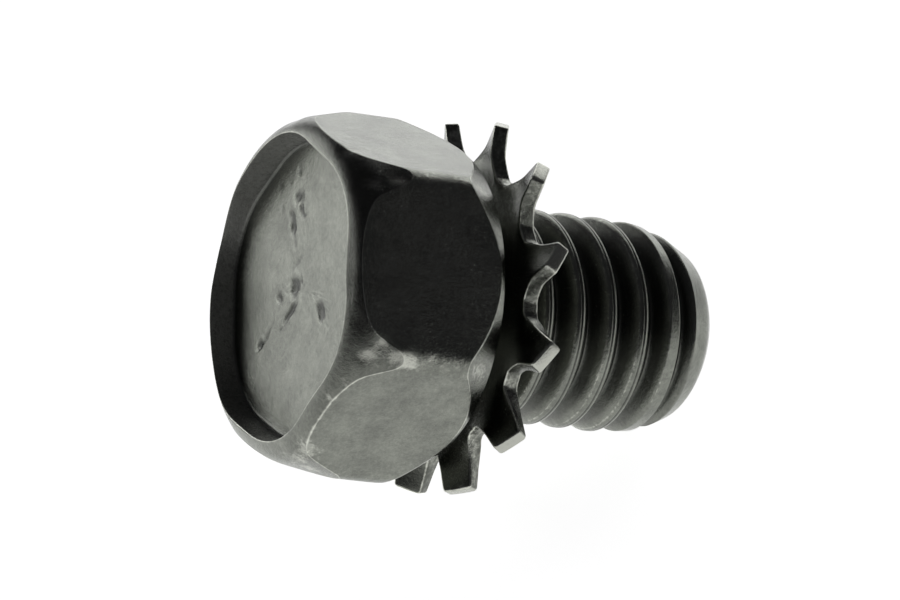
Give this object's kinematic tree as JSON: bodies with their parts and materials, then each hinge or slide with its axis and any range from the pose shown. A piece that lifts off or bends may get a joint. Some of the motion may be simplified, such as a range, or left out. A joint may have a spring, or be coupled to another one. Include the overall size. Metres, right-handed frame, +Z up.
{
  "type": "hex head screw with captive toothed washer",
  "caption": "Short machine screw with a rounded indented hex head, a coarse rolled thread and a captive external tooth lock washer that turns freely on its neck.",
  "frame": {"origin": "centre of the bounding box on the floor it lies on", "axes": "+X towards the screw's point, +Z up; the screw's axis runs in the XZ plane and slopes down towards its point by about 22 degrees"},
  "size_m": [0.022, 0.0164, 0.0173],
  "materials": {
    "screw_steel": "black oxide, satin, worn to bare steel along the edges",
    "washer_steel": "black oxide on hardened spring steel, satin"
  },
  "bodies": {
    "screw_body": {"screw": "screw_steel"},
    "washer_body": {"toothed_washer": "washer_steel"}
  },
  "joints": [
    {"name": "washer_spin", "type": "hinge", "parent": "screw_body", "child": "washer_body", "pos_m": [-0.00046, 0, 0.00756], "axis": [0.9158, 0, -0.4017], "continuous": true}
  ]
}
